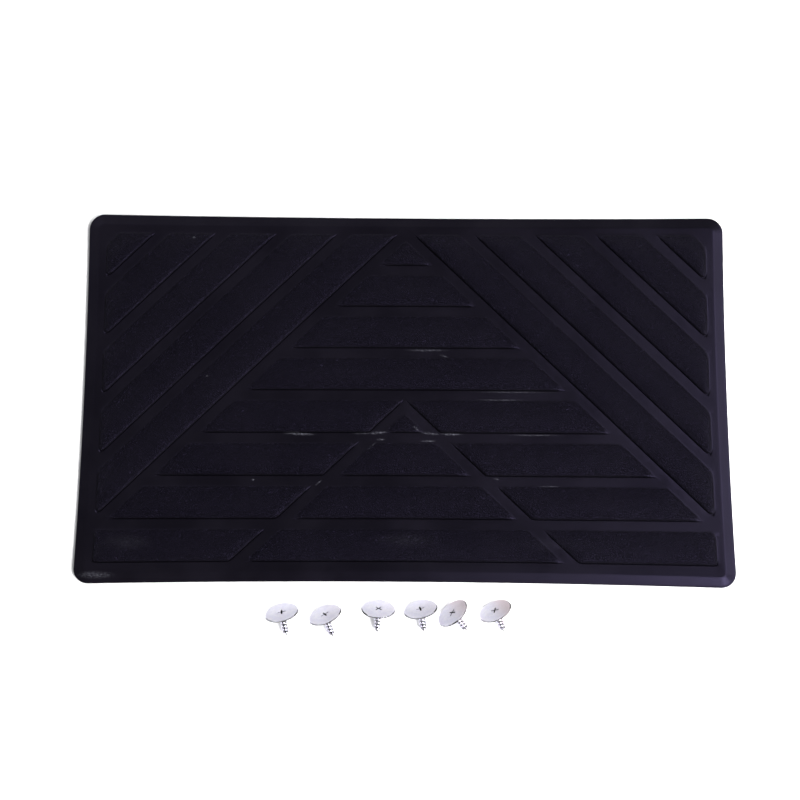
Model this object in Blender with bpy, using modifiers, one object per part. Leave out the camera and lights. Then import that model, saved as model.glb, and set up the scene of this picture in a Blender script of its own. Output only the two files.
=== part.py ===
"""Ribbed grip pad with its six wide-headed fixing screws, in metres, +Z up.

The pad lies on z = 0 with its centre over the origin, its long side along X, and the point of its pattern
towards +Y. The loose screws lie in a row on the -Y side, each resting on its head's rim and its tip.
"""

from math import atan2, cos, hypot, pi, radians, sin

import bmesh
import bpy
from mathutils import Matrix, Vector

# Pad: outline and section
PAD_LENGTH = 0.249
PAD_WIDTH = 0.144
CORNER_RADIUS = 0.006
CORNER_SEGMENTS = 6
EDGE_THICKNESS = 0.0012
STRIP_HEIGHT = 0.0024
BORDER_WIDTH = 0.004

# Pattern: raised bars, with smooth strips between them
FIELD_HALF_LENGTH = 0.1182
FIELD_TOP = 0.065
BAR_WIDTH = 0.0126
STRIP_WIDTH = 0.004
BAR_PITCH = BAR_WIDTH + STRIP_WIDTH
ROW_COUNT = 8
FIRST_ROW_Y = 0.0524
ARM_COUNT = 5
ARM_SLOPE = 0.974
ARM_CROSSING_X = 0.070
CHEVRON_SLOPE = 0.955
CHEVRON_TIP_Y = -0.001
FIRST_SPLIT_ROW = 4

# Section of a bar: a step at its front edges, a level crest, and a gentle fall to its back edges
STEP_RISE = 0.00045
CREST_RISE = 0.001
FRONT_GRADE = 0.11
BACK_GRADE = 0.16
BAR_ROOT = 0.0003

# Screw, along its own axis from the top of the head (0) down to the tip
SCREW_LENGTH = 0.0104
HEAD_RADIUS = 0.0064
HEAD_DISH = 0.00015
RIM_TOP = 0.0002
RIM_BOTTOM = 0.0006
HEAD_UNDERSIDE = 0.0011
NECK_RADIUS = 0.0013
NECK_END = 0.0021
THREAD_RADIUS = 0.0018
ROOT_RADIUS = 0.0011
THREAD_PITCH = 0.0014
THREAD_TURNS = 5
TURN_SEGMENTS = 20
RECESS_SPAN = 0.0034
RECESS_WIDTH = 0.0007
RECESS_DEPTH = 0.0009

# Each screw: where its tip touches z = 0, the way its tip points (degrees from -Y towards +X), and its roll
# about its own axis, in whole segments so that a corner of the head's rim stays lowest
SCREWS = [
    (-0.0433, -0.0910, 12.0, 2),
    (-0.0260, -0.0913, 21.2, 1),
    (-0.0096, -0.0896, -2.7, 3),
    (0.0081, -0.0894, 12.4, 1),
    (0.0240, -0.0886, 43.7, 4),
    (0.0379, -0.0890, 28.3, 2),
]

SMOOTH_ANGLE = radians(35)
MERGE_DISTANCE = 0.00001


def clear_scene():
    for obj in list(bpy.data.objects):
        bpy.data.objects.remove(obj, do_unlink=True)


def new_collection(name):
    collection = bpy.data.collections.new(name)
    bpy.context.scene.collection.children.link(collection)
    return collection


def new_object(name, mesh, collection):
    obj = bpy.data.objects.new(name, mesh)
    collection.objects.link(obj)
    return obj


def mesh_from(bm, name):
    mesh = bpy.data.meshes.new(name)
    bmesh.ops.recalc_face_normals(bm, faces=bm.faces)
    bm.to_mesh(mesh)
    bm.free()
    return mesh


def plain_material(name, colour, roughness, metallic):
    material = bpy.data.materials.new(name)
    material.use_nodes = True
    shader = material.node_tree.nodes["Principled BSDF"]
    shader.inputs["Base Color"].default_value = (*colour, 1.0)
    shader.inputs["Roughness"].default_value = roughness
    shader.inputs["Metallic"].default_value = metallic
    return material


def make_guide(obj):
    """A cutter or a union's operand: seen as a wire, and left out of renders."""
    obj.hide_render = True
    obj.display_type = "WIRE"


def add_boolean(obj, operation, operand):
    boolean = obj.modifiers.new(operand.name, "BOOLEAN")
    boolean.operation = operation
    boolean.solver = "EXACT"
    boolean.object = operand


# ---- pad -----------------------------------------------------------------------------------------------


def plate_mesh():
    """The plate under the bars: a thin upright edge, then a border that slopes up to the strips' level."""
    bm = bmesh.new()
    bmesh.ops.create_cube(bm, size=1.0)
    bmesh.ops.scale(bm, vec=(PAD_LENGTH, PAD_WIDTH, EDGE_THICKNESS), verts=bm.verts)
    bmesh.ops.translate(bm, vec=(0, 0, EDGE_THICKNESS / 2), verts=bm.verts)
    upright = [edge for edge in bm.edges if abs(edge.verts[0].co.z - edge.verts[1].co.z) > EDGE_THICKNESS / 2]
    bmesh.ops.bevel(
        bm, geom=upright, offset=CORNER_RADIUS, segments=CORNER_SEGMENTS, affect="EDGES", profile=0.5
    )
    top = max(bm.faces, key=lambda face: face.calc_center_median().z)
    bmesh.ops.inset_region(bm, faces=[top], thickness=BORDER_WIDTH, use_even_offset=True)
    for vert in top.verts:
        vert.co.z = STRIP_HEIGHT
    return mesh_from(bm, "grip_pad")


def row_edges(index):
    """A row between the long arms: its front edge faces -Y, and its back and slanted ends face away."""
    front_y = FIRST_ROW_Y - index * BAR_PITCH
    edges = [edge_line((0, -1), -front_y, True), edge_line((0, 1), front_y + BAR_WIDTH, False)]
    for side in (-1, 1):
        normal = (side * ARM_SLOPE, 1)
        edges.append(edge_line(normal, ARM_SLOPE * ARM_CROSSING_X, False, -STRIP_WIDTH))
    return edges


def edge_line(normal, offset, front, shift=0.0):
    """A line normal . p = offset, moved out by shift along its unit normal. The bar is on its inner side."""
    length = hypot(*normal)
    return (normal[0] / length, normal[1] / length), offset / length + shift, front


def field_ends():
    return [edge_line((side, 0), FIELD_HALF_LENGTH, True) for side in (-1, 1)]


def chevron_edge(side, outside):
    """One arm of the inner chevron, as the front edge of the bar outside it or the back edge inside it."""
    normal = (side * CHEVRON_SLOPE, 1)
    if outside:
        return edge_line((-normal[0], -normal[1]), -CHEVRON_TIP_Y, True)
    return edge_line(normal, CHEVRON_TIP_Y, False, -STRIP_WIDTH)


def arm_edges(index, side):
    """A diagonal bar: its front edge faces the pattern's middle, and its back edge the pad's corner."""
    normal = (side * ARM_SLOPE, 1)
    crossing = ARM_CROSSING_X + index * BAR_PITCH * hypot(ARM_SLOPE, 1) / ARM_SLOPE
    offset = ARM_SLOPE * crossing
    return [
        edge_line((-normal[0], -normal[1]), -offset, True),
        edge_line(normal, offset, False, BAR_WIDTH),
        edge_line((0, 1), FIELD_TOP, False),
    ]


def all_bars():
    """Every bar of the pattern, as the list of edges that bound it."""
    bars = []
    for index in range(ROW_COUNT):
        edges = row_edges(index) + field_ends()
        if index < FIRST_SPLIT_ROW:
            bars.append(edges)
            continue
        bars.append(edges + [chevron_edge(-1, False), chevron_edge(1, False)])
        bars += [edges + [chevron_edge(side, True)] for side in (-1, 1)]
    for index in range(ARM_COUNT):
        bars += [arm_edges(index, side) + field_ends() for side in (-1, 1)]
    return bars


def bar_planes(edges):
    """The half-spaces whose overlap is one bar, as (point, outward normal) pairs."""
    planes = [(Vector((0, 0, STRIP_HEIGHT + CREST_RISE)), Vector((0, 0, 1)))]
    for normal, offset, front in edges:
        outward = Vector((*normal, 0))
        foot = outward * offset
        foot.z = STRIP_HEIGHT
        if front:
            planes.append((foot, outward))
            planes.append((foot + Vector((0, 0, STEP_RISE)), outward * FRONT_GRADE + Vector((0, 0, 1))))
        else:
            planes.append((foot, outward * BACK_GRADE + Vector((0, 0, 1))))
    return planes


def add_bar(bm, edges):
    """Cuts one block down to a bar, plane by plane, closing each cut."""
    height = CREST_RISE + BAR_ROOT
    made = bmesh.ops.create_cube(bm, size=1.0)["verts"]
    bmesh.ops.scale(bm, vec=(PAD_LENGTH, PAD_WIDTH, height), verts=made)
    bmesh.ops.translate(bm, vec=(0, 0, STRIP_HEIGHT - BAR_ROOT + height / 2), verts=made)
    for point, normal in bar_planes(edges):
        cut = bmesh.ops.bisect_plane(
            bm, geom=bm.verts[:] + bm.edges[:] + bm.faces[:], plane_co=point, plane_no=normal, clear_outer=True
        )
        rim = [item for item in cut["geom_cut"] if isinstance(item, bmesh.types.BMEdge)]
        if rim:
            bmesh.ops.contextual_create(bm, geom=rim)


def bars_mesh():
    joined = bmesh.new()
    for edges in all_bars():
        bm = bmesh.new()
        add_bar(bm, edges)
        bmesh.ops.recalc_face_normals(bm, faces=bm.faces)
        one = bpy.data.meshes.new("bar")
        bm.to_mesh(one)
        bm.free()
        joined.from_mesh(one)
        bpy.data.meshes.remove(one)
    return mesh_from(joined, "raised_bars")


def build_pad(parts, cutters, material):
    bars = new_object("raised_bars", bars_mesh(), cutters)
    make_guide(bars)
    pad = new_object("grip_pad", plate_mesh(), parts)
    add_boolean(pad, "UNION", bars)
    pad.data.materials.append(material)


# ---- screws --------------------------------------------------------------------------------------------


def screw_profile():
    """Radius and depth from the middle of the head, round its rim, down the neck and thread to the tip."""
    points = [
        (0.0, HEAD_DISH),
        (HEAD_RADIUS * 0.55, HEAD_DISH * 0.6),
        (HEAD_RADIUS - RIM_TOP, 0.0),
        (HEAD_RADIUS, RIM_TOP),
        (HEAD_RADIUS, RIM_BOTTOM),
        (HEAD_RADIUS * 0.6, HEAD_UNDERSIDE * 0.8),
        (NECK_RADIUS * 1.4, HEAD_UNDERSIDE),
        (NECK_RADIUS, NECK_END),
    ]
    for turn in range(THREAD_TURNS):
        start = NECK_END + turn * THREAD_PITCH
        taper = 1.0 if turn < THREAD_TURNS - 1 else 0.72
        points.append((THREAD_RADIUS * taper, start + THREAD_PITCH * 0.5))
        points.append((ROOT_RADIUS * taper, start + THREAD_PITCH * 0.95))
    points.append((0.0, SCREW_LENGTH))
    return points


def profile_mesh(points):
    bm = bmesh.new()
    verts = [bm.verts.new((radius, 0, -depth)) for radius, depth in points]
    for first, second in zip(verts, verts[1:]):
        bm.edges.new((first, second))
    mesh = bpy.data.meshes.new("screw_profile")
    bm.to_mesh(mesh)
    bm.free()
    return mesh


def recess_cutter(name, angle, cutters):
    """One arm of the cross recess."""
    bm = bmesh.new()
    bmesh.ops.create_cube(bm, size=1.0)
    bmesh.ops.scale(bm, vec=(RECESS_SPAN, RECESS_WIDTH, RECESS_DEPTH * 2), verts=bm.verts)
    bmesh.ops.rotate(bm, cent=(0, 0, 0), matrix=Matrix.Rotation(angle, 3, "Z"), verts=bm.verts)
    cutter = new_object(name, mesh_from(bm, name), cutters)
    make_guide(cutter)
    return cutter


def screw_mesh(cutters):
    """One finished screw, head up on the origin, which all six share."""
    blank = new_object("screw_blank", profile_mesh(screw_profile()), cutters)
    turned = blank.modifiers.new("turned", "SCREW")
    turned.axis = "Z"
    turned.angle = 2 * pi
    turned.steps = TURN_SEGMENTS
    turned.render_steps = TURN_SEGMENTS
    turned.use_merge_vertices = True
    turned.merge_threshold = MERGE_DISTANCE
    turned.use_smooth_shade = False
    slots = [recess_cutter(f"recess_slot_{number}", number * pi / 2, cutters) for number in (0, 1)]
    for slot in slots:
        add_boolean(blank, "DIFFERENCE", slot)
    graph = bpy.context.evaluated_depsgraph_get()
    mesh = bpy.data.meshes.new_from_object(blank.evaluated_get(graph))
    mesh.name = "screw"
    bpy.data.objects.remove(blank, do_unlink=True)
    return mesh


def screw_placement(tip_x, tip_y, heading, roll_segments):
    """Lays a screw down so that its tip and the lower corner of its rim both touch z = 0."""
    lean = atan2(HEAD_RADIUS, SCREW_LENGTH - RIM_BOTTOM)
    spin = Matrix.Rotation(roll_segments * 2 * pi / TURN_SEGMENTS, 4, "Z")
    turn = Matrix.Rotation(heading, 4, "Z") @ Matrix.Rotation(lean - pi / 2, 4, "X")
    head_side = Vector((-sin(heading) * cos(lean), cos(heading) * cos(lean), sin(lean)))
    head = Vector((tip_x, tip_y, 0)) + head_side * SCREW_LENGTH
    return Matrix.Translation(head) @ turn @ spin


def build_screws(parts, cutters, material):
    mesh = screw_mesh(cutters)
    mesh.materials.clear()
    mesh.materials.append(material)
    mesh.shade_smooth()
    mesh.set_sharp_from_angle(angle=SMOOTH_ANGLE)
    for number, (tip_x, tip_y, heading, roll) in enumerate(SCREWS, start=1):
        screw = new_object(f"screw_{number}", mesh, parts)
        screw.matrix_world = screw_placement(tip_x, tip_y, radians(heading), roll)


def main():
    clear_scene()
    parts = new_collection("grip_pad_with_screws")
    cutters = new_collection("cutters")
    build_pad(parts, cutters, plain_material("black_rubber", (0.012, 0.011, 0.017), 0.5, 0.0))
    build_screws(parts, cutters, plain_material("zinc_steel", (0.78, 0.77, 0.80), 0.3, 1.0))


main()
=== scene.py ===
"""Looks of the ribbed grip pad and its six fixing screws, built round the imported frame.

Shapes are worked out in millimetres and stored in metres, +Z up. The pad lies on z = 0 over the origin.
"""

from math import cos, hypot, pi, radians, sin

import bmesh
import bpy
import numpy as np
from mathutils import Matrix, Vector
from mathutils.geometry import delaunay_2d_cdt


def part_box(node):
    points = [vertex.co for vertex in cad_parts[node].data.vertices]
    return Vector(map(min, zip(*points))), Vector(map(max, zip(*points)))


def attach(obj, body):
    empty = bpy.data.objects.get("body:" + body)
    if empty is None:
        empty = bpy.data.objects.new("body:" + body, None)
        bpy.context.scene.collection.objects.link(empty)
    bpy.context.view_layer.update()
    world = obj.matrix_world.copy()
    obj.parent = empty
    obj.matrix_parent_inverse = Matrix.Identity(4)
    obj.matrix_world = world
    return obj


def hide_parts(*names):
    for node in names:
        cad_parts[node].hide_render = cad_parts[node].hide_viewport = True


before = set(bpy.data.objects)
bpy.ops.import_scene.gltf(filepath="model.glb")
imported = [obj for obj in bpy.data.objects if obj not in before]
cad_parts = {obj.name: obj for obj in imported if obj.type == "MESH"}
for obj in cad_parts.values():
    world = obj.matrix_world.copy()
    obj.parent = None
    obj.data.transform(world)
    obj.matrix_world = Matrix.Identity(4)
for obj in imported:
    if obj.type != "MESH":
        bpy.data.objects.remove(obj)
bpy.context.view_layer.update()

MM = 0.001
PAD_HIGH = np.array(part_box("grip_pad")[1]) / MM
SCREW_NAMES = sorted(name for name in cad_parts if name.startswith("screw_"))

# Pad outline, in mm
HALF_LENGTH = PAD_HIGH[0]
HALF_WIDTH = PAD_HIGH[1]
CORNER_RADIUS = 6.0
STRIP_HEIGHT = 2.4
OUTLINE_SPACING = 1.5
CORNER_STEPS = 14
# Distances in from the pad's edge and heights there, for the border and for the wall under it
BORDER_PROFILE = [
    (0.0, 0.98),
    (0.04, 1.1),
    (0.13, 1.16),
    (0.55, 1.18),
    (0.75, 1.23),
    (1.6, 1.53),
    (2.6, 1.89),
    (3.5, 2.21),
    (3.85, 2.33),
    (4.1, 2.38),
    (4.4, STRIP_HEIGHT),
    (5.2, STRIP_HEIGHT),
]
WALL_PROFILE = [(0.5, 0.0), (0.3, 0.08), (0.16, 0.3), (0.05, 0.65)]
PAD_SHARP_ANGLE = 60.0

# Pattern of raised bars, in mm: level rows from the top down, diagonal arms from the middle out
# on both sides of them, and a chevron that cuts through the lower rows
FIELD_HALF_LENGTH = 117.5
FIELD_TOP = 65.0
FIELD_CORNER_CUT = 5.0
BAR_WIDTH = 12.6
STRIP_WIDTH = 4.0
BAR_PITCH = BAR_WIDTH + STRIP_WIDTH
ROW_COUNT = 8
FIRST_ROW_Y = 52.4
ARM_COUNT = 5
ARM_SLOPE = 0.974
ARM_CROSSING_X = 70.0
CHEVRON_SLOPE = 0.955
CHEVRON_TIP_Y = -1.0
FIRST_SPLIT_ROW = 4

# Section of a bar, in mm from its front edge (a crease, then a step) and up from the strips
FRONT_PROFILE = [
    (-0.46, 0.0),
    (-0.36, -0.02),
    (-0.31, -0.28),
    (-0.26, -0.48),
    (-0.1, -0.52),
    (-0.03, -0.34),
    (0.05, 0.2),
    (0.14, 0.38),
    (0.34, 0.48),
    (0.7, 0.56),
    (1.5, 0.73),
    (2.6, 0.94),
    (3.9, 1.12),
    (5.4, 1.2),
]
# The same at a bar's end beside the border: a soft step with no crease
END_PROFILE = [
    (-0.44, 0.0),
    (-0.14, 0.03),
    (0.14, 0.14),
    (0.34, 0.24),
    (0.7, 0.42),
    (1.5, 0.7),
    (2.6, 0.94),
    (3.9, 1.12),
    (5.4, 1.2),
]
END_FADE = 1.5
CREST = 1.2
# A bar's back slopes down over BACK_WIDTH, ever more steeply, to a small fillet. The mesh has lines
# at these distances inside it
BACK_WIDTH = 9.5
BACK_POWER = 2.2
BACK_FILLET = 0.8
BACK_LINES = [-0.8, -0.35, 0.0, 0.35, 0.8, 1.6, 2.8, 4.4, 6.6]
CREST_BLEND = 0.25
# How far inside a bar's back edges the crease begins, and over what length it deepens
CREASE_START = 1.1
CREASE_FADE = 0.9
# The grain fades in from a bar's outline, which is rounded where a front meets a back
GRAIN_EDGE = 0.8
TIP_BLEND = 2.0

# Spacing of the triangulation's points, in mm
LINE_SPACING = 1.6
LINE_OVERRUN = 0.3
FILL_SPACING = 2.6
FILL_CLEARANCE = 0.9
UNDERSIDE_SPACING = 6.0
MERGE_DISTANCE = 1e-5
PROBE_STEP = 1e-3
PROBE_ROUNDS = 4

# How the limp pad lies, in mm: sides and edges drawn in, the left end pulled in and askew, the middle
# sagging towards the front edge, the corners up
SIDE_BOW = 0.5
TOP_BOW = 0.5
FRONT_BOW = 1.0
LEFT_PULL = 0.6
LEFT_TWIST = 0.55
SAG = 1.0
SAG_RIGHT = 0.35
CORNER_LIFT = 0.35
EDGE_SWING = 1.6
RIPPLE = 0.02
RIPPLE_LENGTHS = (23.0, 31.0, 41.0, 19.0)

# Screws: radii, and depths down the axis from the head's rim, in mm
HEAD_DOME = 0.12
DOME_RINGS = 12
RIM_ROUND = 0.3
RIM_RINGS = 7
# Under the head: shares of the head's radius and depths in rim rounds, then the fillet to the neck:
# shares of the neck's radius and depths below UNDERHEAD
UNDERSIDE_PROFILE = [(0.8, 2.3), (0.5, 2.6)]
NECK_PROFILE = [(1.7, 0.0), (1.25, 0.12), (1.0, 0.45)]
UNDERHEAD = 0.95
NECK_RADIUS = 1.15
THREAD_START = 1.9
THREAD_PITCH = 1.4
THREAD_RADIUS = 1.6
ROOT_RADIUS = 0.95
THREAD_STEP = 0.07
# The ridge: half its width in turns, how sharp it is, the turns it takes to grow, and where it dies out
RIDGE_HALF_WIDTH = 0.3
RIDGE_POWER = 0.85
RIDGE_GROWTH = 0.6
RIDGE_END = 0.25
RIDGE_FADE = 2.2
POINT_RADIUS = 0.06
POINT_SLOPE = 0.52
SCREW_SEGMENTS = 56
# In the CAD, the head is what lies out at this share of the screw's greatest radius
HEAD_SHARE = 0.99
# The cross recess: its wings shrink to these shares at the bottom, and its edges get a small bevel
RECESS_SPAN = 4.2
RECESS_WIDTH = 0.78
RECESS_DEPTH = 1.5
RECESS_SPAN_TAPER = 0.35
RECESS_WIDTH_TAPER = 0.55
RECESS_BEVEL = 0.05
BEVEL_ANGLE = 40.0
SCREW_SHARP_ANGLE = 42.0
# How far each screw is turned about its own axis, in degrees
SCREW_ROLLS = (0, 20, 50, 5, 30, 60)

# Noise textures: scale in features per mm, detail and roughness
LEATHER_FINE = dict(Scale=2.6, Detail=3.0, Roughness=0.6)
RUBBER_BROAD = dict(Scale=0.035, Detail=3.0, Roughness=0.55)
MATT_SKIN = dict(Scale=6.0, Detail=2.0)
SCUFF_STREAKS = dict(Scale=1.0, Detail=4.0, Roughness=0.7)
PLATE_FINE = dict(Scale=5.0, Detail=3.0, Roughness=0.65)
PLATE_BROAD = dict(Scale=0.45, Detail=2.0)
FLOOR_CLOUD = dict(Scale=0.004, Detail=2.0)

# Rubber
RUBBER_DARK = (0.0027, 0.0024, 0.0036)
RUBBER_LIGHT = (0.0037, 0.0033, 0.0047)
GRAIN_SHADE = 0.55
GRAIN_CELLS = 1.25
GRAIN_GROOVE = 0.16
GRAIN_DEPTH = 0.00035
FINE_SHARE = 0.8
SKIN_SHARE = 0.12
RUBBER_IOR = 1.5
RUBBER_SPECULAR = 0.1
RUBBER_SHEEN = (0.58, 0.49, 1.0)
SMOOTH_ROUGHNESS = (0.28, 0.40)
GRAIN_ROUGHNESS = (0.38, 0.50)
SCUFF_COLOUR = (0.15, 0.15, 0.18)
SCUFF_ROUGHNESS = 0.2
STREAKS_ALONG = 6.0
LEAST_ALONG = 0.9
STREAKS_ACROSS = 3.2
STREAK_RANGE = (0.42, 0.62)

# Zinc plating. A screw's material has its head's rim at z = 0 and its thread below
ZINC_COOL = (0.75, 0.74, 0.83)
ZINC_PALE = (0.80, 0.79, 0.85)
# Painted reflection: a warm tint laid on one side of each screw, with a strength for each screw
PAINTED_WARM_REFLECTION_COLOUR = (0.72, 0.64, 0.67)
PAINTED_WARM_REFLECTION_STRENGTHS = (0.0, 0.15, 0.1, 0.15, 0.8, 1.0)
HEAD_ROUGHNESS = 0.7
EDGE_ROUGHNESS = 0.13
# Roughness where the dark reflection is painted on the rim
DARK_ROUGHNESS = 1.0
PLATE_RELIEF = 0.00003
TURNING_RINGS = 17.0
RING_WANDER = 0.3
MOTTLE = (0.92, 1.06)
# Painted highlight: the head's face is lightened by this factor towards its rim
PAINTED_RIM_HIGHLIGHT = 1.05
HEAD_FACE_RADIUS = 6.05
# Painted shade in the cross recess: within this radius and below the face, the plating's colour is scaled by
# the next value
RECESS_REACH = 2.3
PAINTED_RECESS_SHADE = 0.03
# Painted shade: below the head, on the shank's narrow core between the thread's ridges, the plating's colour
# is scaled by this
CORE_RADIUS = (0.95, 1.3)
PAINTED_ROOT_SHADE = 0.25
# Painted dark reflection: the rim's colour is scaled by this where it is painted dark
PAINTED_RIM_DARKENING = 0.02
# Direction of the painted dark reflection (a glint) on each head's rim, seen along the screw from above:
# level X, then Y
PAINTED_GLINT_WAYS = ((-0.87, 0.5), (-0.9, 0.43), (0.8, 0.6), (-0.87, 0.5), (0.3, 0.95), (-0.92, 0.4))
PAINTED_GLINT_SPREAD = (0.965, 0.985)

# Rubbed marks on the pad: centre, length and width in mm, angle in degrees, strength
SCUFFS = [
    (-40, -15.2, 15, 1.62, -3, 0.56),
    (-16, -14.9, 9, 1.22, 0, 0.24),
    (-10, -14.6, 9, 1.49, 4, 0.5),
    (-9, -17.2, 4, 1.22, 0, 0.43),
    (-12.5, -19.8, 6, 1.08, 40, 0.22),
    (4.5, -12.9, 4, 1.35, -45, 0.5),
    (10, -14.8, 9, 1.35, -6, 0.43),
    (18, -15, 10, 1.49, -2, 0.56),
    (9, -17.7, 7, 1.08, 0, 0.5),
    (50, -15.2, 26, 0.94, 0, 0.28),
    (42, 1.5, 40, 0.81, 0, 0.22),
    (37, -1.6, 24, 0.81, 0, 0.28),
    (8.7, 17.8, 20, 1.35, 0, 0.28),
    (15, 15.6, 4, 1.08, -20, 0.31),
    (35, -32.1, 3, 1.08, -15, 0.31),
    (-32.5, -34, 4, 0.94, 38, 0.37),
    (55, -34.8, 10, 0.81, 0, 0.25),
    (-115.5, -69.3, 17, 3.6, 0, 0.3),
    (-104, -57, 24, 8, 0, 0.055),
    (0.5, -55.5, 28, 7, 0, 0.045),
    (56, -57, 44, 8, 0, 0.02),
    (-83, 62.5, 1.6, 1.2, 0, 1.0),
    (-76, 7, 1.4, 1.1, 0, 0.8),
    (-57.3, -33, 1.3, 1.0, 0, 0.8),
]

# Stage, in metres
FLOOR_SIZE = 6.0
FLOOR_GAP = 0.0001
FLOOR_COOL = (0.93, 0.93, 0.94)
FLOOR_PALE = (0.96, 0.96, 0.96)
FLOOR_ROUGHNESS = 0.6
CAMERA_LENS = 61.5
SENSOR_WIDTH = 36.0
CAMERA_ELEVATION = 79.0
CAMERA_TURN = 0.41
CAMERA_DISTANCE = 0.527
# How far the pad's centre lies right of and above the middle of the picture
CAMERA_OFFSET = (0.0018, 0.0013)
# Name, place, size and power in watts. Each light faces the origin
LIGHTS = [
    ("key_right", (0.78, 0.12, 0.86), (0.7, 0.7), 17.0),
    ("key_front", (0.48, -0.5, 0.6), (0.4, 0.4), 15.0),
    ("fill_back", (-0.7, 0.7, 0.8), (1.0, 1.0), 3.8),
]
# The sky's strength changes with height, from a bright horizon to a dim zenith, and from front to back
WORLD_COLOUR = (0.97, 0.97, 1.0)
WORLD_HEIGHTS = (0.1, 0.75)
WORLD_STRENGTHS = (1.35, 0.16)
WORLD_FRONT = 0.1
WORLD_BACK = 1.0

# Kinds of bar edge: a crease and a step, a long slope, a soft step, and the same on a diagonal arm
FRONT = "front"
BACK = "back"
END = "end"
ARM_END = "arm end"
# How widely each kind of edge is rounded where it meets another, in mm
CORNER_BLEND = {FRONT: 0.5, BACK: 0.9, END: 1.4, ARM_END: 3.2}

# ---- distances and the pattern's lines -----------------------------------------------------------------


def smooth_max(first, second, width):
    """The larger of two values, rounded over where they are within width of each other."""
    near = np.maximum(width - np.abs(first - second), 0) / width
    return np.maximum(first, second) + near * near * width / 4


def smooth_min(first, second, width):
    return -smooth_max(-first, -second, width)


def edge_line(normal, offset, kind, shift=0.0):
    """A line normal . p = offset, moved out by shift along its unit normal. The bar is on its inner side."""
    length = hypot(*normal)
    return normal[0] / length, normal[1] / length, offset / length + shift, kind


def field_ends():
    """The two lines where the pattern stops beside the border."""
    return [edge_line((side, 0), FIELD_HALF_LENGTH, END) for side in (-1, 1)]


def row_edges(index):
    """Edges of a level row, which narrows between the two innermost arms."""
    front_y = FIRST_ROW_Y - index * BAR_PITCH
    edges = [edge_line((0, -1), -front_y, FRONT), edge_line((0, 1), front_y + BAR_WIDTH, BACK)]
    for side in (-1, 1):
        normal = (side * ARM_SLOPE, 1)
        edges.append(edge_line(normal, ARM_SLOPE * ARM_CROSSING_X, BACK, -STRIP_WIDTH))
    return edges + field_ends()


def chevron_edge(side, outside):
    """The chevron's edge on one side: of the bar outside its strip, or of the bar inside."""
    normal = (side * CHEVRON_SLOPE, 1)
    if outside:
        return edge_line((-normal[0], -normal[1]), -CHEVRON_TIP_Y, FRONT)
    return edge_line(normal, CHEVRON_TIP_Y, BACK, -STRIP_WIDTH)


def arm_edges(index, side):
    normal = (side * ARM_SLOPE, 1)
    crossing = ARM_CROSSING_X + index * BAR_PITCH * hypot(ARM_SLOPE, 1) / ARM_SLOPE
    offset = ARM_SLOPE * crossing
    return [
        edge_line((-normal[0], -normal[1]), -offset, FRONT),
        edge_line(normal, offset, BACK, BAR_WIDTH),
        edge_line((0, 1), FIELD_TOP, BACK),
        edge_line((side, 0), FIELD_HALF_LENGTH, ARM_END),
        edge_line((side, 1), FIELD_HALF_LENGTH + FIELD_TOP - FIELD_CORNER_CUT, BACK),
    ]


def all_bars():
    bars = []
    for index in range(ROW_COUNT):
        edges = row_edges(index)
        if index < FIRST_SPLIT_ROW:
            bars.append(edges)
            continue
        bars.append(edges + [chevron_edge(-1, False), chevron_edge(1, False)])
        bars += [edges + [chevron_edge(side, True)] for side in (-1, 1)]
    for index in range(ARM_COUNT):
        bars += [arm_edges(index, side) for side in (-1, 1)]
    return [without_idle_edges(edges) for edges in bars]


def clipped_polygon(edges, inset=0.0):
    """Corners of the convex shape inside every edge, and for each side the edge that it lies on, or None."""
    reach = 2 * HALF_LENGTH
    shape = [((x * reach, y * reach), None) for x, y in ((-1, -1), (1, -1), (1, 1), (-1, 1))]
    for number, (nx, ny, offset, _) in enumerate(edges):
        kept = []
        for (p, tag), (q, _) in zip(shape, shape[1:] + shape[:1]):
            before = nx * p[0] + ny * p[1] - offset + inset
            after = nx * q[0] + ny * q[1] - offset + inset
            if before <= 0:
                kept.append((p, tag))
            if before * after < 0:
                share = before / (before - after)
                crossing = (p[0] + share * (q[0] - p[0]), p[1] + share * (q[1] - p[1]))
                kept.append((crossing, number if before <= 0 else tag))
        shape = kept
        if len(shape) < 3:
            return []
    return shape


def without_idle_edges(edges):
    """Leaves out the edges that don't bound the bar."""
    used = {tag for _, tag in clipped_polygon(edges)}
    return [edge for number, edge in enumerate(edges) if number in used]


def outside_by(points, edges):
    """How far points lie outside these edges, rounding the corners between them."""
    total = None
    for nx, ny, offset, kind in edges:
        distance = points[:, 0] * nx + points[:, 1] * ny - offset
        total = distance if total is None else smooth_max(total, distance, CORNER_BLEND[kind])
    return total


def contour(edges, depth, spacing):
    """Points, side by side, along the line that is depth inside these edges, with its corners rounded."""
    shape = clipped_polygon(edges, depth)
    lines = []
    for (p, tag), (q, _) in zip(shape, shape[1:] + shape[:1]):
        if tag is None:
            continue
        p = np.array(p)
        q = np.array(q)
        count = max(2, int(np.linalg.norm(q - p) / spacing) + 1)
        lines.append(p + (q - p) * np.linspace(0, 1, count)[:, None])
    for points in lines:
        for _ in range(PROBE_ROUNDS):
            value = outside_by(points, edges) + depth
            moved = [outside_by(points + step, edges) + depth for step in PROBE_STEP * np.eye(2)]
            slope = np.stack([(there - value) / PROBE_STEP for there in moved], axis=1)
            points -= slope * (value / (slope**2).sum(1))[:, None]
    return lines


def along_profile(profile, inside):
    """Height on a profile of (distance, height) pairs at each distance inside."""
    at, height = zip(*profile)
    return np.interp(inside, at, height)


def back_height(inside):
    """Height of a bar's back slope at each distance inside its back edge."""
    run = np.clip(smooth_max(inside, np.zeros_like(inside), BACK_FILLET) / BACK_WIDTH, 0, 1)
    return CREST * (1 - (1 - run) ** BACK_POWER)


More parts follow.
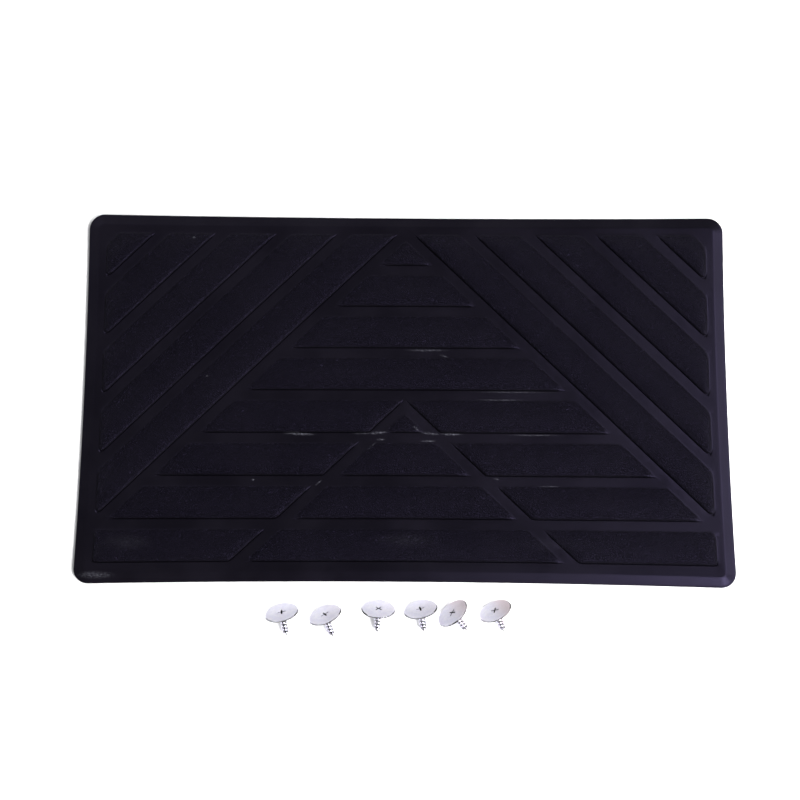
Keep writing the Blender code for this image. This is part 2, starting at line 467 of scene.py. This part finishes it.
def split_edges(edges):
    """A bar's stepped edges, which are its fronts and ends, and its sloping back edges."""
    return [edge for edge in edges if edge[3] != BACK], [edge for edge in edges if edge[3] == BACK]


def stepped_height(points, stepped):
    """Height inside the stepped edges. The crease runs a little way round the corner on to an end."""
    inside = -outside_by(points, stepped)
    front = along_profile(FRONT_PROFILE, inside)
    ends = [edge for edge in stepped if edge[3] != FRONT]
    if not ends:
        return front
    inside_front = -outside_by(points, [edge for edge in stepped if edge[3] == FRONT])
    share = np.clip((inside_front + outside_by(points, ends)) / END_FADE, 0, 1)
    return front + share * (along_profile(END_PROFILE, inside) - front)


def bar_height(points, edges):
    """Height of one bar above the strips. It is negative in the crease along its front edge."""
    stepped, backs = split_edges(edges)
    front = stepped_height(points, stepped)
    inside_back = -outside_by(points, backs)
    raised = smooth_min(front, back_height(inside_back), CREST_BLEND)
    crease = np.minimum(front, 0) * np.clip((inside_back - CREASE_START) / CREASE_FADE, 0, 1)
    return np.where(front < 0, crease, np.maximum(raised, 0))


# ---- pad mesh ------------------------------------------------------------------------------------------


def rounded_outline(inset):
    """The pad's outline, moved in by inset, with the same number of points at any inset."""
    reach = np.array((HALF_LENGTH - CORNER_RADIUS, HALF_WIDTH - CORNER_RADIUS))
    centres = [reach * signs for signs in ((1, 1), (-1, 1), (-1, -1), (1, -1))]
    points = []
    for quarter, centre in enumerate(centres):
        for step in range(CORNER_STEPS + 1):
            angle = quarter * pi / 2 + step / CORNER_STEPS * pi / 2
            points.append(centre + (CORNER_RADIUS - inset) * np.array((cos(angle), sin(angle))))
        along = centres[(quarter + 1) % 4] - centre
        count = int(np.linalg.norm(along) / OUTLINE_SPACING)
        last = points[-1]
        points += [last + along * share / count for share in range(1, count)]
    return np.array(points)


class Drawing:
    """Points and the edges between them, for the triangulation."""

    def __init__(self):
        self.points = []
        self.edges = []

    def add_line(self, points, closed=False):
        first = len(self.points)
        self.points += [tuple(point) for point in points]
        count = len(points)
        self.edges += [(first + n, first + n + 1) for n in range(count - 1)]
        if closed:
            self.edges.append((first + count - 1, first))

    def add_points(self, points):
        self.points += [tuple(point) for point in points]


def kept_runs(points, edges, margin):
    """Splits a line where it leaves the area inside these edges."""
    inside = np.ones(len(points), bool)
    for nx, ny, offset, _ in edges:
        inside &= points[:, 0] * nx + points[:, 1] * ny - offset < margin
    runs = []
    start = None
    for number, keep in enumerate(list(inside) + [False]):
        if keep and start is None:
            start = number
        if not keep and start is not None:
            if number - start > 1:
                runs.append(points[start:number])
            start = None
    return runs


def draw_bar(drawing, edges):
    """Lines along every bend of a bar's section, so that the triangles follow it."""
    fronts, backs = split_edges(edges)
    for depth, _ in FRONT_PROFILE:
        for line in contour(fronts, depth, LINE_SPACING):
            for run in kept_runs(line, backs, LINE_OVERRUN):
                drawing.add_line(run)
    for depth in BACK_LINES:
        for line in contour(backs, depth, LINE_SPACING):
            for run in kept_runs(line, fronts, 0.0):
                drawing.add_line(run)


def fill_points(bars):
    """A loose grid of points that stays clear of the bars' edges."""
    xs = np.arange(-HALF_LENGTH, HALF_LENGTH, FILL_SPACING)
    ys = np.arange(-HALF_WIDTH, HALF_WIDTH, FILL_SPACING)
    grid = np.array([(x + (row % 2) * FILL_SPACING / 2, y) for row, y in enumerate(ys) for x in xs])
    inset = BORDER_PROFILE[-1][0] + FILL_CLEARANCE
    keep = (np.abs(grid[:, 0]) < HALF_LENGTH - inset) & (np.abs(grid[:, 1]) < HALF_WIDTH - inset)
    for edges in bars:
        fronts, backs = split_edges(edges)
        outside_front = outside_by(grid, fronts)
        outside_back = outside_by(grid, backs)
        beside = np.maximum(outside_front, outside_back)
        keep &= ~((np.abs(outside_front) < FILL_CLEARANCE) & (outside_back < FILL_CLEARANCE))
        keep &= ~((beside > 0) & (beside < FILL_CLEARANCE))
    return grid[keep]


def triangulated(drawing, outline_count):
    """Triangles between a drawing's points, and where its first outline_count points ended up."""
    found = delaunay_2d_cdt([Vector(p) for p in drawing.points], drawing.edges, [], 0, MERGE_DISTANCE)
    places = {}
    for place, sources in enumerate(found[3]):
        places.update({source: place for source in sources})
    points = np.array([(v.x, v.y) for v in found[0]])
    return points, [tuple(face) for face in found[2]], [places[n] for n in range(outline_count)]


def inset_distance(points):
    """How far each point lies in from the pad's rounded outline."""
    across = np.abs(points) - np.array((HALF_LENGTH - CORNER_RADIUS, HALF_WIDTH - CORNER_RADIUS))
    beyond = np.linalg.norm(np.maximum(across, 0), axis=1)
    return CORNER_RADIUS - beyond - np.minimum(across.max(axis=1), 0)


def surface_height(points, bars):
    """Height of the flat pad's upper surface above its underside."""
    total = along_profile(BORDER_PROFILE, inset_distance(points))
    for edges in bars:
        total += bar_height(points, edges)
    return total


def bar_cover(points, bars):
    """1 on the grained bars, 0 on the smooth strips and border."""
    cover = np.zeros(len(points))
    for edges in bars:
        fronts, backs = split_edges(edges)
        inside = -smooth_max(outside_by(points, fronts), outside_by(points, backs), TIP_BLEND)
        cover = np.maximum(cover, np.clip(inside / GRAIN_EDGE, 0, 1))
    return cover


def settled(points):
    """Bends the flat, straight-edged pad as it really lies: edges drawn in, left side askew, corners up."""
    x, y, z = points.T
    u = np.clip(np.abs(x) / HALF_LENGTH, 0, 1)
    v = np.clip(np.abs(y) / HALF_WIDTH, 0, 1)
    side_pull = SIDE_BOW * (1 - 2 * v**2) * u**4 * np.sign(x)
    edge_bow = np.where(y > 0, TOP_BOW, FRONT_BOW)
    edge_pull = edge_bow * (1 - EDGE_SWING * u**2) * v**4 * np.sign(y)
    left = np.clip(-x / HALF_LENGTH, 0, 1)
    side_pull -= LEFT_PULL * left**2 * (1 - LEFT_TWIST * y / HALF_WIDTH)
    edge_pull += SAG * (1 - v**6) * (SAG_RIGHT + (1 - SAG_RIGHT) * left)
    lift = CORNER_LIFT * (u * v) ** 5
    first, second, third, fourth = RIPPLE_LENGTHS
    ripple = 2 + np.sin(x / first + 1.0) * np.cos(y / second) + np.sin(x / third - y / fourth)
    return np.stack([x - side_pull, y - edge_pull, z + lift + RIPPLE * ripple], axis=1)


def pad_surface(bars):
    """The pad's upper surface as points and triangles, with the place of each outline point among them."""
    drawing = Drawing()
    for inset, _ in BORDER_PROFILE:
        drawing.add_line(rounded_outline(inset), closed=True)
    for edges in bars:
        draw_bar(drawing, edges)
    drawing.add_points(fill_points(bars))
    flat, faces, outline = triangulated(drawing, len(rounded_outline(0.0)))
    return np.column_stack([flat, surface_height(flat, bars)]), faces, outline


def pad_underside():
    """The flat underside as points and triangles facing down, with the place of each outline point."""
    drawing = Drawing()
    outline = rounded_outline(WALL_PROFILE[0][0])
    drawing.add_line(outline, closed=True)
    reach = (HALF_LENGTH - CORNER_RADIUS, HALF_WIDTH - CORNER_RADIUS)
    steps = [int(2 * length / UNDERSIDE_SPACING) for length in reach]
    grid = [np.linspace(-length, length, count) for length, count in zip(reach, steps)]
    drawing.add_points([(x, y) for x in grid[0] for y in grid[1]])
    flat, faces, places = triangulated(drawing, len(outline))
    return np.column_stack([flat, np.zeros(len(flat))]), [face[::-1] for face in faces], places


def wall_faces(levels):
    """Four-sided faces between closed rings of point numbers, from the lowest ring up."""
    faces = []
    for low, high in zip(levels, levels[1:]):
        for n in range(len(low)):
            m = (n + 1) % len(low)
            faces.append((low[n], low[m], high[m], high[n]))
    return faces


def new_object(name, mesh):
    obj = bpy.data.objects.new(name, mesh)
    bpy.context.scene.collection.objects.link(obj)
    return obj


def pad_mesh():
    """One closed body: the upper surface, the wall round it and the underside, sharing their outlines."""
    bars = all_bars()
    upper, upper_faces, upper_outline = pad_surface(bars)
    under, under_faces, under_outline = pad_underside()
    under_start = len(upper)
    parts = [upper, under]
    levels = [[place + under_start for place in under_outline]]
    for inset, z in WALL_PROFILE[1:]:
        ring = rounded_outline(inset)
        ring_start = sum(len(part) for part in parts)
        levels.append(list(range(ring_start, ring_start + len(ring))))
        parts.append(np.column_stack([ring, np.full(len(ring), z)]))
    levels.append(upper_outline)
    points = np.concatenate(parts)
    faces = upper_faces + [tuple(corner + under_start for corner in face) for face in under_faces]
    mesh = bpy.data.meshes.new("moulded_pad")
    mesh.from_pydata((settled(points) * MM).tolist(), [], faces + wall_faces(levels))
    cover = mesh.attributes.new("grained", "FLOAT", "POINT")
    values = np.zeros(len(points))
    values[: len(upper)] = bar_cover(upper[:, :2], bars)
    cover.data.foreach_set("value", values.astype(np.float32))
    mesh.shade_smooth()
    mesh.set_sharp_from_angle(angle=radians(PAD_SHARP_ANGLE))
    return mesh


# ---- node helpers --------------------------------------------------------------------------------------


class Nodes:
    """Adds shader nodes to one material and links them by socket name."""

    def __init__(self, name):
        self.material = bpy.data.materials.new(name)
        self.material.use_nodes = True
        self.tree = self.material.node_tree
        self.shader = self.tree.nodes["Principled BSDF"]

    def set(self, node, name, value):
        socket = node.inputs[name]
        if isinstance(value, bpy.types.NodeSocket):
            self.tree.links.new(value, socket)
        else:
            socket.default_value = value

    def add(self, kind, output=0, settings=None, **inputs):
        node = self.tree.nodes.new("ShaderNode" + kind)
        for name, value in (settings or {}).items():
            setattr(node, name, value)
        for name, value in inputs.items():
            self.set(node, name.replace("_", " "), value)
        return node.outputs[output]

    def math(self, operation, first, second=0.0, clamp=False):
        node = self.tree.nodes.new("ShaderNodeMath")
        node.operation = operation
        node.use_clamp = clamp
        self.set(node, 0, first)
        self.set(node, 1, second)
        return node.outputs[0]

    def plus(self, first, second):
        return self.math("ADD", first, second)

    def times(self, first, second):
        return self.math("MULTIPLY", first, second)

    def vector_math(self, operation, first, second):
        node = self.tree.nodes.new("ShaderNodeVectorMath")
        node.operation = operation
        self.set(node, 0, first)
        self.set(node, 1, second)
        return node.outputs[0]

    def scaled(self, vector, amount):
        return self.add("VectorMath", settings={"operation": "SCALE"}, Vector=vector, Scale=amount)

    def remap(self, value, low, high, to_low=0.0, to_high=1.0):
        """A smooth change from to_low to to_high as value goes from low to high."""
        node = self.tree.nodes.new("ShaderNodeMapRange")
        node.interpolation_type = "SMOOTHSTEP"
        self.set(node, "Value", value)
        self.set(node, "From Min", low)
        self.set(node, "From Max", high)
        self.set(node, "To Min", to_low)
        self.set(node, "To Max", to_high)
        return node.outputs[0]

    def shaded(self, shade, mask, amount):
        """A shade multiplied by amount where the mask is 1, and left alone where it is 0."""
        return self.times(shade, self.remap(mask, 0.0, 1.0, 1.0, amount))

    def mix_colour(self, share, first, second):
        node = self.tree.nodes.new("ShaderNodeMix")
        node.data_type = "RGBA"
        for name, given in (("Factor", share), ("A", first), ("B", second)):
            sockets = [s for s in node.inputs if s.name == name and s.enabled]
            if isinstance(given, bpy.types.NodeSocket):
                self.tree.links.new(given, sockets[0])
            else:
                sockets[0].default_value = given
        return next(s for s in node.outputs if s.enabled)

    def place(self, location=(0, 0, 0), angle=0.0):
        """Object coordinates in mm, seen from location and turned by angle about Z."""
        in_mm = self.scaled(self.add("TexCoord", output=3), 1 / MM)
        moved = self.vector_math("SUBTRACT", in_mm, location)
        return self.add("VectorRotate", settings={"rotation_type": "Z_AXIS"}, Vector=moved, Angle=-angle)


def rubber_material():
    """Black moulding: leather grain on the bars, a smooth skin on the strips and border, rubbed marks."""
    n = Nodes("moulded_rubber")
    millimetres = n.place()
    grained = n.add("Attribute", output=2, settings={"attribute_name": "grained"})
    voronoi = {"feature": "DISTANCE_TO_EDGE"}
    cells = n.add("TexVoronoi", settings=voronoi, Vector=millimetres, Scale=GRAIN_CELLS, Randomness=1.0)
    crackle = n.remap(cells, 0.0, GRAIN_GROOVE)
    fine = n.add("TexNoise", Vector=millimetres, **LEATHER_FINE)
    broad = n.add("TexNoise", Vector=millimetres, **RUBBER_BROAD)
    grain = n.times(n.plus(crackle, n.times(fine, FINE_SHARE)), grained)
    skin = n.times(n.add("TexNoise", Vector=millimetres, **MATT_SKIN), SKIN_SHARE)
    n.set(n.shader, "Normal", n.add("Bump", Strength=0.8, Distance=GRAIN_DEPTH, Height=n.plus(grain, skin)))

    worn = scuff_mask(n)
    tone = n.mix_colour(n.remap(broad, 0.35, 0.65), (*RUBBER_DARK, 1.0), (*RUBBER_LIGHT, 1.0))
    tone = n.scaled(tone, n.remap(grained, 0.0, 1.0, 1.0, GRAIN_SHADE))
    n.set(n.shader, "Base Color", n.mix_colour(worn, tone, (*SCUFF_COLOUR, 1.0)))

    on_smooth = n.times(n.remap(broad, 0.3, 0.7, *SMOOTH_ROUGHNESS), n.math("SUBTRACT", 1.0, grained))
    on_grain = n.times(n.remap(fine, 0.3, 0.7, *GRAIN_ROUGHNESS), grained)
    roughness = n.math("ADD", n.plus(on_grain, on_smooth), n.times(worn, SCUFF_ROUGHNESS), clamp=True)
    n.set(n.shader, "Roughness", roughness)
    n.set(n.shader, "IOR", RUBBER_IOR)
    n.set(n.shader, "Specular IOR Level", RUBBER_SPECULAR)
    n.set(n.shader, "Specular Tint", (*RUBBER_SHEEN, 1.0))
    return n.material


def scuff_mask(n):
    """Pale rubbed marks: each is a soft-edged ellipse, broken up by streaks along it."""
    total = None
    for x, y, length, width, angle, strength in SCUFFS:
        here = n.place(location=(x, y, 0), angle=radians(angle))
        shape = n.vector_math("MULTIPLY", here, (2 / length, 2 / width, 0))
        reach = n.add("VectorMath", output=1, settings={"operation": "LENGTH"}, Vector=shape)
        along = max(STREAKS_ALONG / length, LEAST_ALONG)
        stretched = n.vector_math("MULTIPLY", here, (along, STREAKS_ACROSS, 1))
        streaks = n.add("TexNoise", Vector=stretched, **SCUFF_STREAKS)
        mark = n.times(n.times(n.remap(reach, 1.0, 0.0), n.remap(streaks, *STREAK_RANGE)), strength)
        total = mark if total is None else n.math("MAXIMUM", total, mark)
    return total


def painted_dark_rim_reflection(n, place, radius, painted_glint_way):
    """Mask of a painted dark reflection: 1 down the side of the head's rim, and on its rolled top in the
    direction of the painted glint.
    """
    x, y, z = place
    at_rim = n.math("GREATER_THAN", radius, HEAD_FACE_RADIUS)
    # Painted dark reflection down the rim's side
    side = n.times(at_rim, n.remap(z, -RIM_ROUND * 0.25, -RIM_ROUND * 0.5))
    towards_glint = n.plus(n.times(x, painted_glint_way[0]), n.times(y, painted_glint_way[1]))
    painted_glint = n.times(at_rim, n.remap(n.math("DIVIDE", towards_glint, radius), *PAINTED_GLINT_SPREAD))
    return n.math("MAXIMUM", side, painted_glint)


def plate_tone_and_painted_light(n, z, radius, fine, painted_rim_dark):
    """How light the plating is: mottled, with a painted highlight towards the rim, painted shade in the
    recess and on the thread's root, and a painted dark reflection on the rim.
    """
    shade = n.remap(fine, 0.35, 0.65, *MOTTLE)
    # Painted highlight towards the rim
    painted_rim_highlight = n.remap(radius, HEAD_FACE_RADIUS - 0.35, HEAD_FACE_RADIUS - 0.1, 1.0, PAINTED_RIM_HIGHLIGHT)
    shade = n.times(shade, painted_rim_highlight)
    # Painted shade: the cross recess is darkened below the head's face
    painted_recess_shade = n.times(n.math("LESS_THAN", radius, RECESS_REACH), n.remap(z, -0.03, -0.25))
    painted_recess_shade = n.times(painted_recess_shade, n.remap(z, -RECESS_DEPTH - 0.3, -RECESS_DEPTH - 0.1))
    # Painted shade on the thread's root between the ridges, which draws a dark line down the shank
    painted_root_shade = n.times(n.remap(z, -0.9, -1.2), n.remap(radius, CORE_RADIUS[1], CORE_RADIUS[0]))
    shade = n.shaded(shade, painted_recess_shade, PAINTED_RECESS_SHADE)
    # Painted dark reflection on the rim
    shade = n.shaded(shade, painted_rim_dark, PAINTED_RIM_DARKENING)
    return n.shaded(shade, painted_root_shade, PAINTED_ROOT_SHADE)


def zinc_material(name, roll, painted_reflection_strength, painted_glint_way):
    """Bright plating: satin on the head's face, shinier on the shank. Painted light: a warm reflection on
    one side, and a dark reflection on the rim, where the plating is dull and not metallic.
    """
    n = Nodes(name)
    millimetres = n.place(angle=-roll)
    place = n.add("SeparateXYZ", Vector=millimetres).node.outputs
    x, y, z = place
    radius = n.math("SQRT", n.plus(n.times(x, x), n.times(y, y)))
    fine = n.add("TexNoise", Vector=millimetres, **PLATE_FINE)
    broad = n.add("TexNoise", Vector=millimetres, **PLATE_BROAD)
    rings = n.math("SINE", n.times(n.plus(radius, n.times(broad, RING_WANDER)), TURNING_RINGS))
    relief = n.plus(n.times(rings, 0.2), n.times(fine, 0.9))
    n.set(n.shader, "Normal", n.add("Bump", Strength=0.6, Distance=PLATE_RELIEF, Height=relief))

    painted_rim_dark = painted_dark_rim_reflection(n, place, radius, painted_glint_way)
    plate = n.mix_colour(n.remap(broad, 0.35, 0.65), (*ZINC_COOL, 1.0), (*ZINC_PALE, 1.0))
    # Painted reflection: a warm tint on one side of the screw
    painted_warm_side = n.times(n.remap(x, 2.0, -5.0), painted_reflection_strength)
    plate = n.mix_colour(painted_warm_side, plate, (*PAINTED_WARM_REFLECTION_COLOUR, 1.0))
    n.set(n.shader, "Base Color", n.scaled(plate, plate_tone_and_painted_light(n, z, radius, fine, painted_rim_dark)))

    on_face = n.math("LESS_THAN", radius, HEAD_FACE_RADIUS)
    on_face = n.times(on_face, n.remap(z, -RIM_ROUND, -RIM_ROUND * 0.6))
    roughness = n.remap(on_face, 0.0, 1.0, EDGE_ROUGHNESS, HEAD_ROUGHNESS)
    # The painted dark reflection is dull and not metallic
    roughness = n.math("MAXIMUM", roughness, n.times(painted_rim_dark, DARK_ROUGHNESS))
    n.set(n.shader, "Roughness", n.plus(roughness, n.remap(fine, 0.3, 0.7, -0.05, 0.07)))
    n.set(n.shader, "Metallic", n.math("SUBTRACT", 1.0, painted_rim_dark))
    return n.material


def floor_material():
    n = Nodes("pale_floor")
    cloud = n.add("TexNoise", Vector=n.place(), **FLOOR_CLOUD)
    n.set(n.shader, "Base Color", n.mix_colour(cloud, (*FLOOR_COOL, 1.0), (*FLOOR_PALE, 1.0)))
    n.set(n.shader, "Roughness", FLOOR_ROUGHNESS)
    return n.material


# ---- screws --------------------------------------------------------------------------------------------


def head_profile(radius):
    """Radius and depth from the low dome's middle, over the rolled rim, to the neck."""
    points = [(radius * share, HEAD_DOME * (share**2 - 1)) for share in np.linspace(0.02, 0.9, DOME_RINGS)]
    for turn in np.linspace(90, -90, RIM_RINGS):
        angle = radians(turn)
        points.append((radius - RIM_ROUND + RIM_ROUND * cos(angle), RIM_ROUND - RIM_ROUND * sin(angle)))
    for share, depth in UNDERSIDE_PROFILE:
        points.append((radius * share, depth * RIM_ROUND))
    for share, depth in NECK_PROFILE:
        points.append((NECK_RADIUS * share, UNDERHEAD + depth))
    return points


def thread_radius(depth, angle, length):
    """Radius of the shank at a depth and an angle: a tapering root with one sharp helical ridge."""
    run = depth - THREAD_START
    to_tip = length - depth
    root = min(ROOT_RADIUS, POINT_RADIUS + to_tip * POINT_SLOPE)
    phase = (run / THREAD_PITCH - angle / (2 * pi)) % 1.0
    ridge = max(0.0, 1 - abs(phase - 0.5) / RIDGE_HALF_WIDTH)
    grow = min(1.0, max(0.0, run / (THREAD_PITCH * RIDGE_GROWTH)))
    fade = min(1.0, max(0.0, (to_tip - RIDGE_END) / RIDGE_FADE))
    return root + (THREAD_RADIUS - ROOT_RADIUS) * ridge**RIDGE_POWER * grow * fade


def screw_rings(radius, length):
    """Rings of points from the head down to the tip, each as (depth, radius at every angle)."""
    angles = [2 * pi * step / SCREW_SEGMENTS for step in range(SCREW_SEGMENTS)]
    rings = [(depth, [r] * SCREW_SEGMENTS) for r, depth in head_profile(radius)]
    depth = rings[-1][0] + THREAD_STEP
    while depth < length - THREAD_STEP:
        rings.append((depth, [thread_radius(depth, angle, length) for angle in angles]))
        depth += THREAD_STEP
    return angles, rings


def screw_mesh(radius, length):
    """A screw without its recess, with its head's rim at z = 0 and its tip straight below."""
    angles, rings = screw_rings(radius, length)
    bm = bmesh.new()
    rows = []
    for depth, radii in rings:
        row = [bm.verts.new((r * cos(a) * MM, r * sin(a) * MM, -depth * MM)) for r, a in zip(radii, angles)]
        rows.append(row)
    top = bm.verts.new((0, 0, HEAD_DOME * MM))
    tip = bm.verts.new((0, 0, -length * MM))
    for n in range(SCREW_SEGMENTS):
        m = (n + 1) % SCREW_SEGMENTS
        bm.faces.new((top, rows[0][n], rows[0][m]))
        bm.faces.new((tip, rows[-1][m], rows[-1][n]))
        for upper, lower in zip(rows, rows[1:]):
            bm.faces.new((upper[n], lower[n], lower[m], upper[m]))
    mesh = bpy.data.meshes.new("fixing_screw")
    bm.to_mesh(mesh)
    bm.free()
    return mesh


def recess_cutter():
    """A cross with four tapering wings, narrow at the bottom."""
    bm = bmesh.new()
    for turn in (0, pi / 2):
        block = bmesh.ops.create_cube(bm, size=2.0)["verts"]
        for vert in block:
            deep = vert.co.z < 0
            vert.co.x *= RECESS_SPAN / 2 * (RECESS_SPAN_TAPER if deep else 1.0)
            vert.co.y *= RECESS_WIDTH / 2 * (RECESS_WIDTH_TAPER if deep else 1.0)
            vert.co.z = -RECESS_DEPTH if deep else RECESS_DEPTH * 0.6
        bmesh.ops.rotate(bm, verts=block, cent=(0, 0, 0), matrix=Matrix.Rotation(turn, 3, "Z"))
    bmesh.ops.scale(bm, vec=(MM, MM, MM), verts=bm.verts)
    mesh = bpy.data.meshes.new("recess_cutter")
    bm.to_mesh(mesh)
    bm.free()
    return new_object("recess_cutter", mesh)


def with_recess(mesh):
    """The mesh with the cross cut into its head and the cut's edges slightly rounded."""
    blank = new_object("screw_blank", mesh)
    cutter = recess_cutter()
    cut = blank.modifiers.new("recess", "BOOLEAN")
    cut.operation = "DIFFERENCE"
    cut.solver = "EXACT"
    cut.use_self = True
    cut.object = cutter
    edge = blank.modifiers.new("edge", "BEVEL")
    edge.width = RECESS_BEVEL * MM
    edge.segments = 2
    edge.limit_method = "ANGLE"
    edge.angle_limit = radians(BEVEL_ANGLE)
    graph = bpy.context.evaluated_depsgraph_get()
    done = bpy.data.meshes.new_from_object(blank.evaluated_get(graph))
    bpy.data.objects.remove(blank)
    bpy.data.objects.remove(cutter)
    done.shade_smooth()
    done.set_sharp_from_angle(angle=radians(SCREW_SHARP_ANGLE))
    return done


def screw_stance(node):
    """Where a CAD screw lies: its tip, the way its head faces, and its head's level and radius in mm."""
    faces = node.data.polygons
    areas = np.array([face.area for face in faces])
    normals = np.array([face.normal for face in faces])
    centres = np.array([face.center for face in faces])
    # Most of a screw's surface faces along its axis, and most of it is at the head's end
    axis = np.linalg.eigh((normals.T * areas) @ normals)[1][:, -1]
    points = np.array([vert.co for vert in node.data.vertices])
    along = points @ axis
    if areas @ (centres @ axis) / areas.sum() < (along.min() + along.max()) / 2:
        axis = -axis
    tip = points[(points @ axis).argmin()]
    along = (points - tip) @ axis
    away = np.linalg.norm(points - tip - np.outer(along, axis), axis=1)
    rim = along[away > away.max() * HEAD_SHARE].max()
    return tip, axis, rim / MM, away.max() / MM


def screw_axes(axis):
    """A rotation whose Z is the screw's axis and whose X is level."""
    z = Vector(axis)
    x = Vector((0, 0, 1)).cross(z).normalized()
    return Matrix((x, z.cross(x), z)).transposed().to_4x4()


def build_screws():
    shared = None
    for number, name in enumerate(SCREW_NAMES):
        roll = radians(SCREW_ROLLS[number])
        tip, axis, rim, radius = screw_stance(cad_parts[name])
        if shared is None:
            shared = with_recess(screw_mesh(radius, rim))
            shared.materials.append(None)
        screw = new_object("zinc_" + name, shared)
        screw.material_slots[0].link = "OBJECT"
        plating = zinc_material("zinc_plate_" + name[-1], roll, PAINTED_WARM_REFLECTION_STRENGTHS[number], PAINTED_GLINT_WAYS[number])
        screw.material_slots[0].material = plating
        head = Vector(tip) + Vector(axis) * rim * MM
        screw.matrix_world = Matrix.Translation(head) @ screw_axes(axis) @ Matrix.Rotation(roll, 4, "Z")
        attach(screw, name)
        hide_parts(name)


# ---- stage ---------------------------------------------------------------------------------------------


def build_floor():
    bm = bmesh.new()
    bmesh.ops.create_grid(bm, x_segments=1, y_segments=1, size=FLOOR_SIZE / 2)
    mesh = bpy.data.meshes.new("floor")
    bm.to_mesh(mesh)
    bm.free()
    floor = new_object("floor", mesh)
    floor.location.z = -FLOOR_GAP
    mesh.materials.append(floor_material())


def build_camera():
    """A camera at the photo's angle, aimed near the pad's centre."""
    data = bpy.data.cameras.new("camera")
    data.lens = CAMERA_LENS
    data.sensor_width = SENSOR_WIDTH
    camera = new_object("camera", data)
    turn = radians(CAMERA_TURN)
    rise = radians(CAMERA_ELEVATION)
    aside, above = CAMERA_OFFSET
    back = Vector((0, -cos(rise), sin(rise)))
    up = Vector((0, sin(rise), cos(rise)))
    spot = back * CAMERA_DISTANCE - Vector((aside, 0, 0)) - up * above
    camera.location = Matrix.Rotation(turn, 3, "Z") @ spot
    camera.rotation_euler = (pi / 2 - rise, 0, turn)
    bpy.context.scene.camera = camera


def build_lights():
    for name, position, (length, width), power in LIGHTS:
        data = bpy.data.lights.new(name, "AREA")
        data.shape = "RECTANGLE"
        data.size = length
        data.size_y = width
        data.energy = power
        light = new_object(name, data)
        light.location = position
        light.rotation_euler = (-Vector(position)).to_track_quat("-Z", "Y").to_euler()


def world_range(tree, value, ends, strengths, interpolation="LINEAR"):
    """The sky's strength as value goes from one end to the other."""
    node = tree.nodes.new("ShaderNodeMapRange")
    node.interpolation_type = interpolation
    tree.links.new(value, node.inputs["Value"])
    node.inputs["From Min"].default_value, node.inputs["From Max"].default_value = ends
    node.inputs["To Min"].default_value, node.inputs["To Max"].default_value = strengths
    return node.outputs[0]


def build_world():
    """A pale sky that is strongest low down behind the pad."""
    world = bpy.data.worlds.new("studio")
    world.use_nodes = True
    bpy.context.scene.world = world
    tree = world.node_tree
    source = tree.nodes.new("ShaderNodeTexCoord")
    split = tree.nodes.new("ShaderNodeSeparateXYZ")
    tree.links.new(source.outputs["Generated"], split.inputs[0])
    by_height = world_range(tree, split.outputs["Z"], WORLD_HEIGHTS, WORLD_STRENGTHS, "SMOOTHSTEP")
    by_side = world_range(tree, split.outputs["Y"], (-1.0, 1.0), (WORLD_FRONT, WORLD_BACK))
    strength = tree.nodes.new("ShaderNodeMath")
    strength.operation = "MULTIPLY"
    tree.links.new(by_height, strength.inputs[0])
    tree.links.new(by_side, strength.inputs[1])
    background = tree.nodes["Background"]
    background.inputs["Color"].default_value = (*WORLD_COLOUR, 1.0)
    tree.links.new(strength.outputs[0], background.inputs["Strength"])
    bpy.context.scene.view_settings.view_transform = "Standard"


def build_pad():
    mesh = pad_mesh()
    mesh.materials.append(rubber_material())
    pad = new_object("moulded_pad", mesh)
    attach(pad, "pad")
    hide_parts("grip_pad")


build_pad()
build_screws()
build_floor()
build_camera()
build_lights()
build_world()
